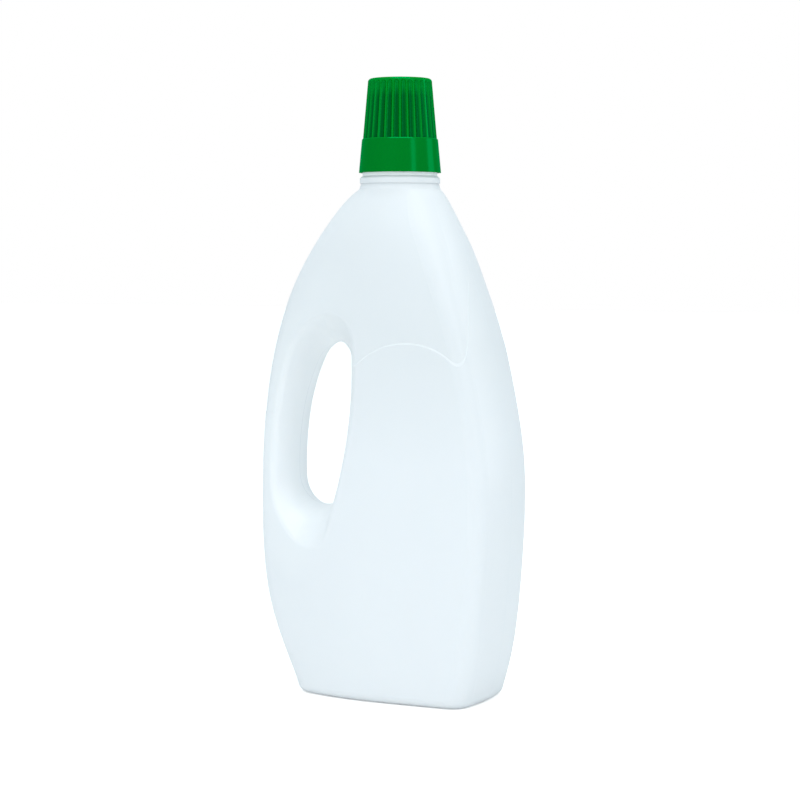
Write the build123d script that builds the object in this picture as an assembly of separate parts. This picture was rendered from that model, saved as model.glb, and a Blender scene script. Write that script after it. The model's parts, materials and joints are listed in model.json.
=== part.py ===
from build123d import *
from math import cos, pi, radians, sin, sqrt
import os

# One-litre cleaner bottle: a blow-moulded bottle with a through handle, a pour insert pressed
# into its neck, and a ribbed screw cap that closes on a round sealing liner. Sizes are in
# millimetres. The bottle stands on the XY plane with +Z up. Its broad faces look along Y, the
# handle is towards -X, and the origin lies under the middle of the body's width and depth.

# Bottle body, outside
body_width = 127.0
body_depth = 57.0
shoulder_height = 237.0  # the foot of the neck above the table
neck_shift = 6.9  # from the middle of the body's width to the neck's axis
wall = 0.9
base_edge_radius = 4.5

# Standing ring and push-up of the base
standing_ring_width = 6.0
push_up_depth = 2.4
push_up_slope_width = 5.0
push_up_corner_radius = 6.0
pinch_seam_length = 56.0
pinch_seam_width = 1.4
pinch_seam_height = 0.6

# Panel on both broad faces, which stands proud below an arch
panel_proud = 0.45
panel_arch_radius = 33.0
panel_arch_height = 132.5  # the arch's centre above the table
panel_arch_shift = 15.0  # the arch's centre from the neck's axis

# Hand hole, at the parting plane where it is narrowest
hole_width = 33.0
hole_height = 78.5
hole_top_radius = 16.5
hole_bottom_radius = 15.0
hole_middle_height = 127.0
hole_to_side = 16.3  # the handle's width where it passes the hole's middle
hole_lean = 9.0  # degrees, its top towards the neck
hole_wall = 1.3
crease_radius = 3.0

# How much further the hand hole reaches out where it meets a face at the body's full depth
hole_flare_grip = 27.5
hole_flare_panel = 8.0
hole_flare_top = 28.5
hole_flare_bottom = 40.5

# Neck, from its foot up
neck_foot_radius = 19.0
neck_cone_height = 2.8
neck_cone_top_radius = 18.1
collar_radius = 18.7
collar_height = 3.2
collar_bevel = 0.9
neck_band_radius = 17.4
neck_band_height = 4.8
neck_core_radius = 15.5  # at the foot of the thread
neck_core_height = 10.5
neck_bore_radius = 14.0
neck_wall = 1.5
lip_radius = 0.4

# Thread
thread_depth = 0.8

# Pour insert
insert_flange_thickness = 1.0
insert_wall = 1.2
insert_skirt_depth = 8.0
insert_floor_depth = 5.0
insert_floor_thickness = 1.0
insert_spout_radius = 5.0
insert_spout_height = 3.5
insert_lead_in = 0.4

# Sealing liner
liner_thickness = 1.2

# Screw cap
cap_clearance = 0.35
cap_height = 43.4
cap_overlap = 3.0  # over the plain band of the neck
cap_mouth_outer_radius = 19.1
cap_mouth_depth = 3.6
cap_skirt_top_radius = 17.7
cap_ledge_bevel = 0.45
cap_rib_foot_radius = 17.2
cap_rib_top_radius = 14.75
cap_top_edge_radius = 1.6
cap_chamber_foot_radius = 14.4
cap_chamber_top_radius = 13.1
cap_top_thickness = 1.4

# Flutes between the ribs of the cap
flute_count = 30
first_flute_angle = 2.0
flute_foot_radius = 1.6
flute_top_radius = 1.4
flute_foot_depth = 0.9
flute_top_depth = 0.7
flute_top_margin = 2.6  # from the flute's end to the top of the cap
flute_foot_gap = 0.15

cut_overrun = 1.0
touching = 0.001  # how close an edge lies to a place that it counts as being at

# Horizontal sections of the body, from the base to just under the neck. Each row holds, in order:
# its height as a share of shoulder_height,
# its reach to the handle's side and to the plain side, as shares of the widest reaches,
# its half depth, and its corner radii on the handle's side and the plain side, as shares of
# half the body's depth, and four turns of the outline in degrees: of the end and the face on
# the handle's side, and of the end and the face on the plain side.
section_shares = (
    (0.000, 0.680, 0.806, 0.955, 0.46, 0.38, 18, 16, 10, 2.5),
    (0.053, 0.755, 0.868, 0.975, 0.44, 0.36, 18, 18, 11, 2.5),
    (0.169, 0.917, 0.950, 1.000, 0.42, 0.32, 18, 20, 12, 2.5),
    (0.311, 0.990, 0.996, 1.000, 0.38, 0.30, 20, 22, 12, 2.5),
    (0.467, 0.993, 0.998, 1.000, 0.37, 0.30, 20, 24, 12, 2.5),
    (0.622, 0.939, 0.895, 1.000, 0.37, 0.30, 20, 24, 12, 3),
    (0.733, 0.849, 0.788, 0.980, 0.40, 0.34, 20, 24, 13, 4),
    (0.822, 0.730, 0.672, 0.940, 0.46, 0.42, 20, 24, 15, 6),
    (0.889, 0.601, 0.577, 0.885, 0.54, 0.50, 22, 25, 18, 10),
    (0.942, 0.474, 0.479, 0.805, 0.60, 0.58, 24, 26, 22, 16),
    (0.978, 0.370, 0.406, 0.718, 0.64, 0.62, 27, 27, 26, 24),
)

# The turn, in degrees, of each arc of the round outline at the foot of the neck
neck_foot_turn = 30.0

# How far the sloping edge of the panel runs out, as a share of how far the panel stands proud
panel_edge_share = 1.5

# How much of the panel's step is left at the narrow sides of the body
panel_side_share = 0.15

# The turns, in degrees, of the hand hole's long sides and of its top and bottom. The side towards
# the handle turns more above its middle.
hole_side_turn = 11.0
hole_upper_grip_turn = 17.0
hole_end_turn = 22.0

# The turns, in degrees, of the push-up's narrow ends and of its long sides
push_up_end_turn = 22.0
push_up_face_turn = 14.0

# Where the hand hole's outline is drawn, as shares of half the body's depth. The last one lies
# outside the body, with its own share of the flare.
hole_level_shares = (0.0, 0.3, 0.55, 0.75, 0.88, 0.96)
hole_last_level_share = 1.1
hole_last_flare_share = 1.15

handle_reach = body_width / 2 + neck_shift
plain_reach = body_width / 2 - neck_shift
half_depth = body_depth / 2
neck_axis = Axis((neck_shift, 0, 0), (0, 0, 1))
band_base = shoulder_height + neck_cone_height + collar_height
band_top = band_base + neck_band_height
lip_height = band_top + neck_core_height
insert_top = lip_height + insert_flange_thickness
cap_land_height = insert_top + liner_thickness
cap_base = band_top - cap_overlap
cap_top = cap_base + cap_height


def handle_reach_at(height):
    """How far the handle's side lies from the neck's axis at a height above the table."""
    share = height / shoulder_height
    for below, above in zip(section_shares, section_shares[1:]):
        if share <= above[0]:
            along = (share - below[0]) / (above[0] - below[0])
            return handle_reach * (below[1] + (above[1] - below[1]) * along)
    return neck_foot_radius


hole_middle_reach = handle_reach_at(hole_middle_height) - hole_to_side - hole_width / 2


def quarter_arcs(reach, half, corner, end_turn, face_turn):
    """Three tangent arcs from (reach, 0) to (0, half), each as (start, middle, end) points.
    The end arc turns by end_turn, the corner arc has the radius corner, and the face arc
    turns by face_turn. The radii of the end and face arcs follow from the two reaches."""
    a, b = radians(end_turn), radians(90 - face_turn)
    rest_x = reach - corner * (cos(a) - cos(b))
    rest_y = half - corner * (sin(b) - sin(a))
    # rest_x = end * (1 - cos a) + face * cos b, and rest_y = end * sin a + face * (1 - sin b)
    det = (1 - cos(a)) * (1 - sin(b)) - cos(b) * sin(a)
    end = (rest_x * (1 - sin(b)) - rest_y * cos(b)) / det
    face = (rest_y * (1 - cos(a)) - rest_x * sin(a)) / det
    x, y = reach - end, 0
    arcs = []
    for radius, start, stop, after in ((end, 0, a, corner), (corner, a, b, face), (face, b, pi / 2, 0)):
        middle = (start + stop) / 2
        arcs.append([(x + radius * cos(t), y + radius * sin(t)) for t in (start, middle, stop)])
        x += (radius - after) * cos(stop)
        y += (radius - after) * sin(stop)
    return arcs


def closed_wire(upper_right, upper_left, lower_left, lower_right, place):
    """Closed wire of four quarter outlines. place turns a point of the plane into a Vector."""
    loop = [
        *upper_right,
        *[[(-x, y) for x, y in reversed(arc)] for arc in reversed(upper_left)],
        *[[(-x, -y) for x, y in arc] for arc in lower_left],
        *[[(x, -y) for x, y in reversed(arc)] for arc in reversed(lower_right)],
    ]
    return Wire([Edge.make_three_point_arc(*[place(x, y) for x, y in arc]) for arc in loop])


def body_section(shares, level, inset, recess=0):
    """Horizontal outline of the body at one row of section_shares, drawn at a level.
    inset moves the whole outline inwards, and recess moves the broad faces inwards."""
    left, right, depth, left_corner, right_corner, *turns = shares[1:]
    half = half_depth * depth - inset - recess
    side = inset + recess * panel_side_share
    left_arcs = quarter_arcs(handle_reach * left - side, half, half_depth * left_corner - inset, *turns[:2])
    right_arcs = quarter_arcs(plain_reach * right - side, half, half_depth * right_corner - inset, *turns[2:])
    return closed_wire(
        right_arcs, left_arcs, left_arcs, right_arcs, lambda x, y: Vector(neck_shift + x, y, level)
    )


def neck_foot_section(inset):
    """The round outline at the foot of the neck, in as many arcs as the other sections."""
    radius = neck_foot_radius - inset
    arcs = quarter_arcs(radius, radius, radius, neck_foot_turn, neck_foot_turn)
    return closed_wire(arcs, arcs, arcs, arcs, lambda x, y: Vector(neck_shift + x, y, shoulder_height))


def body_form(inset, recess=0):
    """Solid form of the body, from its base to the foot of the neck."""
    wires = [
        body_section(row, inset + (shoulder_height - inset) * row[0], inset, recess)
        for row in section_shares
    ]
    form = Solid.make_loft(wires + [neck_foot_section(inset)])
    foot = form.edges().group_by(Axis.Z)[0]
    return form.fillet(base_edge_radius - inset, foot)


def panel_zone():
    """The space below the panel's arch. Its edge slopes, so the step is soft."""
    x = neck_shift + panel_arch_shift
    spread = panel_edge_share * half_depth
    cones = [
        Solid.make_cone(
            panel_arch_radius + spread, panel_arch_radius - panel_edge_share * cut_overrun,
            half_depth + cut_overrun, Plane(origin=(x, 0, panel_arch_height), z_dir=(0, side, 0)),
        )
        for side in (-1, 1)
    ]
    below = Solid.make_box(
        body_width + 2 * spread, body_depth + 2 * cut_overrun, panel_arch_height,
        Plane((-body_width / 2 - spread, -half_depth - cut_overrun, 0)),
    )
    return cones[0] + cones[1] + below


def hand_hole(grow):
    """The hand hole as a solid that flares towards both faces, with grow added all round."""
    def outline(level, flare):
        width, height = hole_width / 2 + grow, hole_height / 2 + grow
        quarters = [
            quarter_arcs(
                width + flare * side, height + flare * end,
                corner + grow + flare * min(side, end), turn, hole_end_turn,
            )
            for side, end, corner, turn in (
                (hole_flare_panel, hole_flare_top, hole_top_radius, hole_side_turn),
                (hole_flare_grip, hole_flare_top, hole_top_radius, hole_upper_grip_turn),
                (hole_flare_grip, hole_flare_bottom, hole_bottom_radius, hole_side_turn),
                (hole_flare_panel, hole_flare_bottom, hole_bottom_radius, hole_side_turn),
            )
        ]
        lean = radians(hole_lean)
        return closed_wire(*quarters, lambda x, z: Vector(
            neck_shift - hole_middle_reach + x * cos(lean) + z * sin(lean),
            half_depth * level,
            hole_middle_height + z * cos(lean) - x * sin(lean),
        ))

    rising = [(share, 1 - sqrt(1 - share * share)) for share in hole_level_shares]
    rising.append((hole_last_level_share, hole_last_flare_share))
    falling = [(-level, flare) for level, flare in reversed(rising[1:])]
    return Solid.make_loft([outline(level, flare) for level, flare in falling + rising])


def edges_on_both(solid, first, second):
    """The edges of a solid whose middle lies on the faces of both of the other solids."""
    skins = [Compound(first.faces()), Compound(second.faces())]
    return [
        edge
        for edge in solid.edges()
        if all(skin.distance_to(Vertex(*(edge @ 0.5))) < touching for skin in skins)
    ]


def holed_form(inset, recess, hole, crease):
    """The body's form with the hand hole cut through it, and the hole's rims rounded."""
    form = body_form(inset, recess)
    holed = form - hole
    return holed.fillet(crease, edges_on_both(holed, form, hole)) if crease else holed


def holed_body(inset, hole, crease=0):
    """The body with its hand hole and the panels on its broad faces."""
    above = holed_form(inset, panel_proud, hole, crease)
    below = holed_form(inset, 0, hole, crease)
    return above + (below & panel_zone())


def push_up(grow):
    """The hollow under the base as a solid, with grow added to its sides and top."""
    def outline(level, inset):
        left, right, depth = section_shares[0][1:4]
        half = half_depth * depth - inset
        corner = push_up_corner_radius + grow
        left_arcs, right_arcs = [
            quarter_arcs(reach - inset, half, corner, push_up_end_turn, push_up_face_turn)
            for reach in (handle_reach * left, plain_reach * right)
        ]
        return closed_wire(
            right_arcs, left_arcs, left_arcs, right_arcs, lambda x, y: Vector(neck_shift + x, y, level)
        )

    margin = base_edge_radius + standing_ring_width - grow
    return Solid.make_loft(
        [
            outline(-cut_overrun, margin),
            outline(0, margin),
            outline(push_up_depth + grow, margin + push_up_slope_width),
        ],
        ruled=True,
    )


def pinch_seam():
    """The low ridge under the base, where the mould pinched the blown tube shut."""
    return Solid.make_box(
        pinch_seam_length, pinch_seam_width, pinch_seam_height + wall / 2,
        Plane((neck_shift - pinch_seam_length / 2, -pinch_seam_width / 2, push_up_depth - pinch_seam_height)),
    )


def turned(points):
    """Solid turned about the neck's axis from (radius, height) points."""
    outline = Wire.make_polygon([Vector(neck_shift + radius, 0, height) for radius, height in points])
    return Solid.revolve(Face(outline), 360, neck_axis)


def edges_at(solid, radius, height):
    """The round edges of a turned solid with this radius, at this height."""
    return [
        edge
        for edge in solid.edges().filter_by(GeomType.CIRCLE)
        if abs(edge.radius - radius) < touching and abs(edge.center().Z - height) < touching
    ]


def neck_outside():
    """The neck as a full solid, which reaches a little way down into the body."""
    collar_base = shoulder_height + neck_cone_height
    neck = turned([
        (0, shoulder_height - cut_overrun),
        (neck_foot_radius, shoulder_height - cut_overrun),
        (neck_foot_radius, shoulder_height),
        (neck_cone_top_radius, collar_base),
        (collar_radius, collar_base),
        (collar_radius, band_base - collar_bevel),
        (collar_radius - collar_bevel, band_base),
        (neck_band_radius, band_base),
        (neck_band_radius, band_top - thread_depth),
        (neck_band_radius - thread_depth, band_top),
        (neck_core_radius, band_top),
        (neck_core_radius, lip_height),
        (0, lip_height),
    ])
    return neck.fillet(lip_radius, edges_at(neck, neck_core_radius, lip_height))


def neck_inside():
    """The way through the neck, from its lip down into the hollow of the body."""
    foot_radius = neck_foot_radius - wall
    return turned([
        (0, shoulder_height - cut_overrun),
        (foot_radius, shoulder_height - cut_overrun),
        (foot_radius, shoulder_height),
        (neck_band_radius - neck_wall, band_base),
        (neck_bore_radius, band_top - neck_wall),
        (neck_bore_radius, lip_height + cut_overrun),
        (0, lip_height + cut_overrun),
    ])


def bottle():
    """The blow-moulded bottle: body, through handle and neck in one hollow shell."""
    outside = holed_body(0, hand_hole(0), crease_radius) - push_up(0) + pinch_seam() + neck_outside()
    inside = holed_body(wall, hand_hole(hole_wall)) - push_up(wall) + neck_inside()
    return outside - inside


def pour_insert():
    """Plug with a flange that rests on the lip, and a spout that stands on its floor."""
    floor = lip_height - insert_floor_depth
    foot = lip_height - insert_skirt_depth
    inner = neck_bore_radius - insert_wall
    rim = insert_spout_radius + insert_wall
    return turned([
        (insert_spout_radius, floor),
        (inner, floor),
        (inner - insert_lead_in, foot),
        (neck_bore_radius - insert_lead_in, foot),
        (neck_bore_radius, floor),
        (neck_bore_radius, lip_height),
        (neck_core_radius, lip_height),
        (neck_core_radius, insert_top),
        (inner + insert_lead_in, insert_top),
        (inner, insert_top - insert_flange_thickness),
        (inner, floor + insert_floor_thickness),
        (rim, floor + insert_floor_thickness),
        (rim, floor + insert_spout_height),
        (insert_spout_radius, floor + insert_spout_height),
    ])


def cap_liner():
    """Round foam liner between the insert's flange and the land inside the cap."""
    radius = neck_core_radius + thread_depth
    return turned([
        (0, insert_top), (radius, insert_top), (radius, cap_land_height), (0, cap_land_height),
    ])


def flute(angle):
    """Cutter for one flute of the cap: a slim cone with a round upper end."""
    foot_height = cap_land_height + flute_foot_gap
    top_height = cap_top - flute_top_margin
    foot_reach = cap_rib_foot_radius - flute_foot_depth + flute_foot_radius
    top_reach = cap_rib_top_radius - flute_top_depth + flute_top_radius
    foot = Vector(neck_shift + foot_reach, 0, foot_height)
    top = Vector(neck_shift + top_reach, 0, top_height)
    run = top - foot
    cone = Solid.make_cone(flute_foot_radius, flute_top_radius, run.length, Plane(origin=foot, z_dir=run))
    ball = Solid.make_sphere(flute_top_radius, Plane(origin=top))
    return (cone + ball).rotate(neck_axis, angle)


def screw_cap():
    """The cap: a plain conical skirt below, fluted above, with a chamber over its land."""
    bore_radius = neck_core_radius + thread_depth + cap_clearance
    mouth_radius = neck_band_radius + cap_clearance
    cap = turned([
        (0, cap_top),
        (cap_rib_top_radius, cap_top),
        (cap_rib_foot_radius, cap_land_height),
        (cap_skirt_top_radius - cap_ledge_bevel, cap_land_height),
        (cap_skirt_top_radius, cap_land_height - cap_ledge_bevel),
        (cap_mouth_outer_radius, cap_base),
        (mouth_radius, cap_base),
        (mouth_radius, cap_base + cap_mouth_depth),
        (bore_radius, cap_base + cap_mouth_depth + mouth_radius - bore_radius),
        (bore_radius, cap_land_height),
        (cap_chamber_foot_radius, cap_land_height),
        (cap_chamber_top_radius, cap_top - cap_top_thickness),
        (0, cap_top - cap_top_thickness),
    ])
    cap = cap.fillet(cap_top_edge_radius, edges_at(cap, cap_rib_top_radius, cap_top))
    pitch = 360 / flute_count
    return cap - [flute(first_flute_angle + pitch * i) for i in range(flute_count)]


if __name__ == "__main__":
    os.makedirs("parts", exist_ok=True)
    pieces = {
        "bottle": bottle,
        "pour_insert": pour_insert,
        "cap_liner": cap_liner,
        "screw_cap": screw_cap,
    }
    for name, make in pieces.items():
        export_step(make(), f"parts/{name}.step")
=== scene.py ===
import json
import math

import bmesh
import bpy
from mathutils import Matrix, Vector


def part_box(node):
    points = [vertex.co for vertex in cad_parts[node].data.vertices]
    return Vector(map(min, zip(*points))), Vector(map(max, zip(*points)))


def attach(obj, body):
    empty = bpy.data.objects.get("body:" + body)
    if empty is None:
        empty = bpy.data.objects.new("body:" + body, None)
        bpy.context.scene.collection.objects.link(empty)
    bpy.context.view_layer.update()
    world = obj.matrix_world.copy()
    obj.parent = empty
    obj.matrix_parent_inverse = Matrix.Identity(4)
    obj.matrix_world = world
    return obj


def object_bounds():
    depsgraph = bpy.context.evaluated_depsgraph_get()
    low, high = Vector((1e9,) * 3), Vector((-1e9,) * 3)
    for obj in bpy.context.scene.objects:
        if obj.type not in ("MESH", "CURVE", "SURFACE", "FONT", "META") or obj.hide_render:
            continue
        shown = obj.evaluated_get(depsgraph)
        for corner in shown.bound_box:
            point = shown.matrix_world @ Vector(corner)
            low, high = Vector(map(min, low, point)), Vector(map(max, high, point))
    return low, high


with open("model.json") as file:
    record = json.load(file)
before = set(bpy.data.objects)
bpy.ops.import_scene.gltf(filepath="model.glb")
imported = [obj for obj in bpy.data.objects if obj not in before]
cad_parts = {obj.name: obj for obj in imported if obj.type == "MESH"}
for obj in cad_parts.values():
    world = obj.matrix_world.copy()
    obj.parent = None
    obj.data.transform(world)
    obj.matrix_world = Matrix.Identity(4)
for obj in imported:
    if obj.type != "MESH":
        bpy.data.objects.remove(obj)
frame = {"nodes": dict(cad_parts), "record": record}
cad_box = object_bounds()


# The view: a standing observer's look at the bottle's handle and its broad face, from a little
# to the handle-free side. The lens is a long one, so that upright lines stay nearly parallel.
neck_low, neck_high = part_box("cap_liner")
neck_x = (neck_low.x + neck_high.x) / 2
view_azimuth = math.radians(26)
view_distance = 1.014  # from the neck's axis
eye_height = 0.209
focal_pixels = 2170
picture_pixels = 800
horizon_pixels = 150  # from the picture's middle up to eye level

dip = math.atan(horizon_pixels / focal_pixels)
look = Vector((
    -math.sin(view_azimuth) * math.cos(dip), math.cos(view_azimuth) * math.cos(dip), -math.sin(dip),
))
lens = bpy.data.cameras.new("camera")
lens.sensor_width = 36
lens.lens = lens.sensor_width * focal_pixels / picture_pixels
lens.clip_end = 50
camera = bpy.data.objects.new("camera", lens)
camera.location = (
    neck_x + view_distance * math.sin(view_azimuth),
    -view_distance * math.cos(view_azimuth),
    eye_height,
)
camera.rotation_euler = look.to_track_quat("-Z", "Y").to_euler()
bpy.context.scene.collection.objects.link(camera)
bpy.context.scene.camera = camera
bpy.context.scene.view_settings.view_transform = "Standard"


# How materials are written here: a Shade is one socket, and sums and products of Shades add the
# Math nodes for them.
class Shade:
    """A socket in a material's tree, or the tree alone before there is a socket."""

    def __init__(self, tree, socket=None):
        self.tree = tree
        self.socket = socket

    def node(self, kind, settings=None, inputs=None, output=0):
        """Adds a node, with its settings first and then its sockets' values or links."""
        made = self.tree.nodes.new(kind)
        for name, value in (settings or {}).items():
            setattr(made, name, value)
        for name, value in (inputs or {}).items():
            if isinstance(value, Shade):
                self.tree.links.new(value.socket, made.inputs[name])
            else:
                made.inputs[name].default_value = value
        return Shade(self.tree, made.outputs[output] if made.outputs else None)

    def __add__(self, other):
        return self.node("ShaderNodeMath", {"operation": "ADD"}, {0: self, 1: other})

    def __sub__(self, other):
        return self.node("ShaderNodeMath", {"operation": "SUBTRACT"}, {0: self, 1: other})

    def __rsub__(self, other):
        return self.node("ShaderNodeMath", {"operation": "SUBTRACT"}, {0: other, 1: self})

    def __mul__(self, other):
        return self.node("ShaderNodeMath", {"operation": "MULTIPLY"}, {0: self, 1: other})

    def __truediv__(self, other):
        return self.node("ShaderNodeMath", {"operation": "DIVIDE"}, {0: self, 1: other})

    def __pow__(self, other):
        return self.node("ShaderNodeMath", {"operation": "POWER"}, {0: self, 1: other})

    def __lt__(self, other):
        return self.node("ShaderNodeMath", {"operation": "LESS_THAN"}, {0: self, 1: other})

    def __abs__(self):
        return self.node("ShaderNodeMath", {"operation": "ABSOLUTE"}, {0: self})

    __radd__ = __add__
    __rmul__ = __mul__


def new_material(name):
    """An empty material, and the Shade that its nodes start from."""
    material = bpy.data.materials.new(name)
    material.use_nodes = True
    material.node_tree.nodes.clear()
    return material, Shade(material.node_tree)


# The table: a plain pale board, much larger than the picture. Where the camera sees it, a faint
# glow is added to it, so that it runs into the white behind it and still takes the shadow.
table_size = 12.0
table_colour = (0.88, 0.88, 0.87, 1)
table_roughness = 0.7
table_roughness_spread = 0.1
table_glow = 0.5

material, start = new_material("table_board")
grain = start.node("ShaderNodeTexNoise", inputs={"Scale": 35, "Detail": 4})
board = start.node(
    "ShaderNodeBsdfPrincipled",
    inputs={
        "Base Color": table_colour,
        "Roughness": grain * table_roughness_spread + table_roughness,
        "Specular IOR Level": 0.1,
    },
)
path = start.node("ShaderNodeLightPath", output="Is Camera Ray")
glow = start.node("ShaderNodeEmission", inputs={"Color": (1, 1, 1, 1), "Strength": path * table_glow})
start.node(
    "ShaderNodeOutputMaterial",
    inputs={"Surface": start.node("ShaderNodeAddShader", inputs={0: board, 1: glow})},
)
bpy.ops.mesh.primitive_plane_add(size=table_size)
table = bpy.context.object
table.name = "table"
table.data.materials.append(material)


# The studio: an even, slightly blue room, and wide soft lights overhead and in front. A tall light
# high up on the right and a wide one behind it draw the long reflections on the cap. The front
# light is kept out of reflections, and the one behind lights glossy surfaces alone.
room_strength = 0.84
room_colour = (0.82, 0.94, 1.0, 1)
seen_room_strength = 1.0
seen_room_colour = (1, 1, 1, 1)


def blend(mask, below, above):
    """One colour over another, as far as the mask lets it show."""
    return mask.node("ShaderNodeMix", {"data_type": "RGBA"}, {0: mask, 6: below, 7: above}, output=2)


room = bpy.data.worlds.new("room")
room.use_nodes = True
room.node_tree.nodes.clear()
start = Shade(room.node_tree)
seen = start.node("ShaderNodeLightPath", output="Is Camera Ray")
strength = seen * (seen_room_strength - room_strength) + room_strength
colour = blend(seen, room_colour, seen_room_colour)
start.node(
    "ShaderNodeOutputWorld",
    inputs={"Surface": start.node("ShaderNodeBackground", inputs={"Color": colour, "Strength": strength})},
)
bpy.context.scene.world = room

object_middle = Vector((0, 0, cad_box[1].z / 2))
for name, place, width, height, power, on_matt, on_gloss in (
    ("overhead_light", (0.1, -0.1, 1.3), 0.7, 0.7, 5.6, True, True),
    ("front_light", (-0.1, -1.3, 0.5), 0.9, 0.9, 2.6, True, False),
    ("tall_light", (1.2, -0.55, 0.9), 0.35, 1.3, 2.4, True, True),
    ("gloss_light", (1.13, 0.82, 0.5), 0.6, 1.1, 3.6, False, True),
):
    light = bpy.data.lights.new(name, "AREA")
    light.shape = "RECTANGLE"
    light.size, light.size_y = width, height
    light.energy = power
    lamp = bpy.data.objects.new(name, light)
    lamp.location = place
    lamp.visible_diffuse = on_matt
    lamp.visible_glossy = on_gloss
    lamp.rotation_euler = (object_middle - Vector(place)).to_track_quat("-Z", "Y").to_euler()
    bpy.context.scene.collection.objects.link(lamp)


# The bottle: one blow-moulded piece of satin white polyethylene, with the mould's grain and the line
# where its halves met. Its colour carries painted light round the hand hole and above the collar,
# which lifts the shade there, and painted shade over the upper body and shoulder.
bottle_colour = (0.83, 0.838, 0.855, 1)
painted_light_colour = (0.975, 0.98, 0.985, 1)
painted_shade_colour = (0.77, 0.782, 0.794, 1)
seam_colour = (0.79, 0.81, 0.83, 1)
seam_half_width = 0.00015
painted_shade_from = 0.12  # above the table
painted_shade_full = 0.18
painted_shade_waviness = 0.02
hole_half_width = 0.0165
hole_half_height = 0.039
hole_lean = math.radians(9)
hole_painted_light = 1.6  # at the hole's middle, before it is cut off at 1
hole_painted_light_loss = 0.4  # away from there, for each squared half size of the hole
collar_top = 0.2433


def dress(name, material):
    """Gives a solid from the frame this material alone."""
    piece = frame["nodes"][name]
    piece.data.materials.clear()
    piece.data.materials.append(material)


material, start = new_material("satin_polyethylene")
place = start.node("ShaderNodeTexCoord", output="Object")
x, y, z = [start.node("ShaderNodeSeparateXYZ", inputs={0: place}, output=axis) for axis in "XYZ"]
cloud = start.node("ShaderNodeTexNoise", inputs={"Vector": place, "Scale": 16, "Detail": 3})
mould_grain = start.node("ShaderNodeTexNoise", inputs={"Vector": place, "Scale": 1900, "Detail": 2})
ripple = start.node("ShaderNodeTexNoise", inputs={"Vector": place, "Scale": 60, "Detail": 2})
seam = abs(y) < seam_half_width

# Painted light round the hand hole, which lifts the shade inside it: by the distance from the hand
# hole's leaning middle, in hole widths and heights, and by how far the wall lies in from the broad faces.
openings = {opening["name"]: opening["box_m"] for opening in frame["record"]["physics"]["openings"]}
hole_low, hole_high = openings["hand_hole"]
from_hole_x = x - (hole_low[0] + hole_high[0]) / 2
from_hole_z = z - (hole_low[2] + hole_high[2]) / 2
hole_across = (from_hole_x * math.cos(hole_lean) - from_hole_z * math.sin(hole_lean)) / hole_half_width
hole_along = (from_hole_z * math.cos(hole_lean) + from_hole_x * math.sin(hole_lean)) / hole_half_height
hole_distance_squared = hole_across * hole_across + hole_along * hole_along
near_hole = start.node(
    "ShaderNodeClamp", inputs={0: hole_painted_light - hole_distance_squared * hole_painted_light_loss}
)
# Painted light over the neck band above the collar too, which lifts the shade under the cap.
painted_light = near_hole * (1 - abs(y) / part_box("bottle")[1].y) + (1 - (z < collar_top))
# Painted shade over the upper body: darker from 12 cm up to 18 cm above the table, with a wavy lower edge,
# and on up to the neck.
painted_shade = start.node("ShaderNodeMapRange", inputs={
    "Value": z + cloud * painted_shade_waviness, "From Min": painted_shade_from, "From Max": painted_shade_full,
})
colour = blend(painted_shade, bottle_colour, painted_shade_colour)
colour = blend(painted_light, colour, painted_light_colour)
colour = blend(seam, colour, seam_colour)
height = mould_grain * 0.5 + ripple * 1.2 + seam * 4
relief = start.node("ShaderNodeBump", inputs={"Strength": 0.35, "Distance": 0.00003, "Height": height})
skin = start.node("ShaderNodeBsdfPrincipled", inputs={
    "Base Color": colour,
    "Roughness": cloud * 0.1 + 0.33,
    "Normal": relief,
    "Subsurface Weight": 0.2,
    "Subsurface Radius": (1.0, 1.1, 1.2),
    "Subsurface Scale": 0.0005,
})
start.node("ShaderNodeOutputMaterial", inputs={"Surface": skin})
dress("bottle", material)


# The neck's thread: a rounded rib blown with the bottle, which climbs the neck by one and a half
# turns. The cap's lift per turn in the frame gives its pitch.
lip_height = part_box("bottle")[1].z
neck_core_radius = (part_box("pour_insert")[1].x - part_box("pour_insert")[0].x) / 2
thread_rise = 0.0008
thread_half_width = 0.0010
thread_top_gap = 0.0012  # from the thread's last turn up to the lip
neck_thread_turns = 1.5
thread_pitch = frame["record"]["behaviour"]["couplings"][0]["ratio"] * 2 * math.pi


def thread(name, wall_radius, rise, half_width, first_height, turns, first_turn=0):
    """A right-hand rib on a round wall, outwards where rise is positive. It sinks into the wall
    at both ends."""
    sunk_share = -0.1  # how far the rib's edges lie inside the wall
    profile_shares = (
        (-1.0, sunk_share), (-0.85, 0.25), (-0.6, 0.85), (-0.3, 1.0),
        (0.3, 1.0), (0.6, 0.85), (0.85, 0.25), (1.0, sunk_share),
    )
    steps_per_turn = 90
    fade_turns = 0.12
    mesh = bmesh.new()
    steps = round(turns * steps_per_turn)
    rows = []
    for step in range(steps + 1):
        turn = turns * step / steps
        fade = min(1, turn / fade_turns, (turns - turn) / fade_turns)
        angle = 2 * math.pi * (first_turn + turn)
        row = []
        for across_share, rise_share in profile_shares:
            radius = wall_radius + rise * min(rise_share, fade * (1 - sunk_share) + sunk_share)
            row.append(mesh.verts.new((
                neck_x + radius * math.cos(angle),
                radius * math.sin(angle),
                first_height + thread_pitch * turn + half_width * across_share,
            )))
        rows.append(row)
    for row, after in zip(rows, rows[1:]):
        for i, corner in enumerate(row):
            j = (i + 1) % len(row)
            mesh.faces.new((corner, row[j], after[j], after[i]))
    mesh.faces.new(rows[0])
    mesh.faces.new(reversed(rows[-1]))
    bmesh.ops.recalc_face_normals(mesh, faces=mesh.faces)
    for face in mesh.faces:
        face.smooth = True
    data = bpy.data.meshes.new(name)
    mesh.to_mesh(data)
    mesh.free()
    rib = bpy.data.objects.new(name, data)
    bpy.context.scene.collection.objects.link(rib)
    return rib


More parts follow.
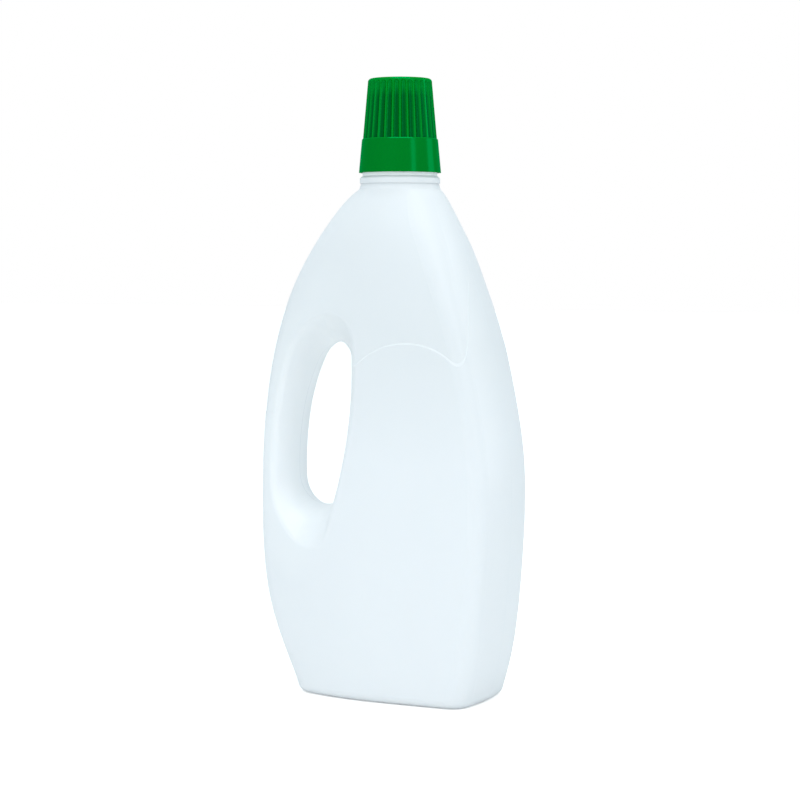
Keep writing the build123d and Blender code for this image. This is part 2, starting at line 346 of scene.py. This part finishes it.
neck_thread_first = lip_height - thread_top_gap - thread_half_width - thread_pitch * neck_thread_turns
neck_thread = thread(
    "neck_thread", neck_core_radius, thread_rise, thread_half_width, neck_thread_first, neck_thread_turns
)
neck_thread.data.materials.append(material)
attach(neck_thread, "bottle")


# The pour insert: a small injection-moulded plug of natural polyethylene, pressed into the neck
# until its flange meets the lip.
insert_colour = (0.84, 0.86, 0.86, 1)

material, start = new_material("natural_polyethylene")
place = start.node("ShaderNodeTexCoord", output="Object")
flow = start.node("ShaderNodeTexNoise", inputs={"Vector": place, "Scale": 300, "Detail": 2})
relief = start.node("ShaderNodeBump", inputs={"Strength": 0.3, "Distance": 0.00002, "Height": flow})
skin = start.node("ShaderNodeBsdfPrincipled", inputs={
    "Base Color": insert_colour,
    "Roughness": flow * 0.1 + 0.32,
    "Normal": relief,
    "Subsurface Weight": 0.2,
    "Subsurface Radius": (1.0, 1.0, 1.0),
    "Subsurface Scale": 0.001,
})
start.node("ShaderNodeOutputMaterial", inputs={"Surface": skin})
dress("pour_insert", material)


# The sealing liner: a disc punched from a sheet of foamed polyethylene. Its closed cells show as
# a fine pitted surface.
liner_colour = (0.82, 0.82, 0.80, 1)

material, start = new_material("foamed_polyethylene")
place = start.node("ShaderNodeTexCoord", output="Object")
cells = start.node("ShaderNodeTexVoronoi", inputs={"Vector": place, "Scale": 2600})
relief = start.node("ShaderNodeBump", inputs={"Strength": 0.6, "Distance": 0.00006, "Height": cells})
skin = start.node("ShaderNodeBsdfPrincipled", inputs={
    "Base Color": liner_colour,
    "Roughness": cells * 0.2 + 0.6,
    "Normal": relief,
})
start.node("ShaderNodeOutputMaterial", inputs={"Surface": skin})
dress("cap_liner", material)


# The screw cap: one injection-moulded piece of glossy green polypropylene, fluted above its plain
# skirt so that wet fingers can turn it. Its colour carries painted light on the thin ribs and the
# plain top, and painted shade in the flutes between the ribs; the reflections take its colour.
rib_painted_light_colour = (0.0003, 0.275, 0.012, 1)
skirt_colour = (0.0002, 0.17, 0.0, 1)
flute_painted_shade_colour = (0.0, 0.085, 0.0, 1)
reflection_colour = (0.0, 0.18, 0.062, 1)
edge_reflection_colour = (0.0, 1.0, 0.7, 1)
reflection_share = 0.3
rib_foot_radius = 0.0172
rib_top_radius = 0.01475
rib_length = 0.0277
rib_top_painted_light = 0.35  # how much further the ribs' painted light spreads at their upper ends
flute_depth = 0.0007
crown_height = 0.0026  # the plain stretch from the flutes' ends up to the top, with the ribs' painted light
crown_fade_height = 0.006  # over which the flutes' painted shade comes in below it

material, start = new_material("glossy_polypropylene")
place = start.node("ShaderNodeTexCoord", output="Object")
x, y, z = [start.node("ShaderNodeSeparateXYZ", inputs={0: place}, output=axis) for axis in "XYZ"]
flow = start.node("ShaderNodeTexNoise", inputs={"Vector": place, "Scale": 90, "Detail": 3})
peel = start.node("ShaderNodeTexNoise", inputs={"Vector": place, "Scale": 900, "Detail": 1})
from_axis = x - neck_x
reach = (from_axis * from_axis + y * y) ** 0.5
below_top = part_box("screw_cap")[1].z - z
rib_reach = below_top * ((rib_foot_radius - rib_top_radius) / rib_length) + rib_top_radius
rib_painted_light_spread = (1 - below_top / rib_length) * rib_top_painted_light
on_rib = start.node("ShaderNodeClamp", inputs={0: (reach - rib_reach) / flute_depth + 1 + rib_painted_light_spread})
on_skirt = start.node("ShaderNodeClamp", inputs={0: (reach - rib_reach) / flute_depth})
on_crown = start.node("ShaderNodeClamp", inputs={0: 1 - (below_top - crown_height) / crown_fade_height})
# Painted light on the ribs and the crown, painted shade in the flutes, and the skirt's own colour below.
colour = blend(on_rib + on_crown, flute_painted_shade_colour, rib_painted_light_colour)
colour = blend(on_skirt, colour, skirt_colour)
relief = start.node("ShaderNodeBump", inputs={
    "Strength": 0.25, "Distance": 0.00003, "Height": flow * 1.5 + peel * 0.4,
})
pigment = start.node("ShaderNodeBsdfPrincipled", inputs={
    "Base Color": colour, "Roughness": 0.5, "Specular IOR Level": 0.0,
})
reflection = start.node("ShaderNodeBsdfPrincipled", inputs={
    "Base Color": reflection_colour,
    "Metallic": 1.0,
    "Roughness": flow * 0.08 + 0.12,
    "Specular Tint": edge_reflection_colour,
    "Normal": relief,
})
skin = start.node("ShaderNodeMixShader", inputs={0: reflection_share, 1: pigment, 2: reflection})
start.node("ShaderNodeOutputMaterial", inputs={"Surface": skin})
dress("screw_cap", material)


# The cap's thread: moulded with the cap, as a rib that stands inwards from its bore. It runs midway
# between the turns of the neck's thread.
bore_past_liner = 0.00035
cap_thread_rise = -0.0009
cap_thread_half_width = 0.0009
cap_thread_turns = 1.6
cap_thread_first_turn = -0.3
cap_thread_start_share = 0.2  # of the pitch, from the neck thread's foot up

cap_bore_radius = (neck_high.x - neck_low.x) / 2 + bore_past_liner
cap_thread_first = neck_thread_first + thread_pitch * cap_thread_start_share
cap_thread = thread(
    "cap_thread", cap_bore_radius, cap_thread_rise, cap_thread_half_width,
    cap_thread_first, cap_thread_turns, cap_thread_first_turn,
)
cap_thread.data.materials.append(material)
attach(cap_thread, "cap")
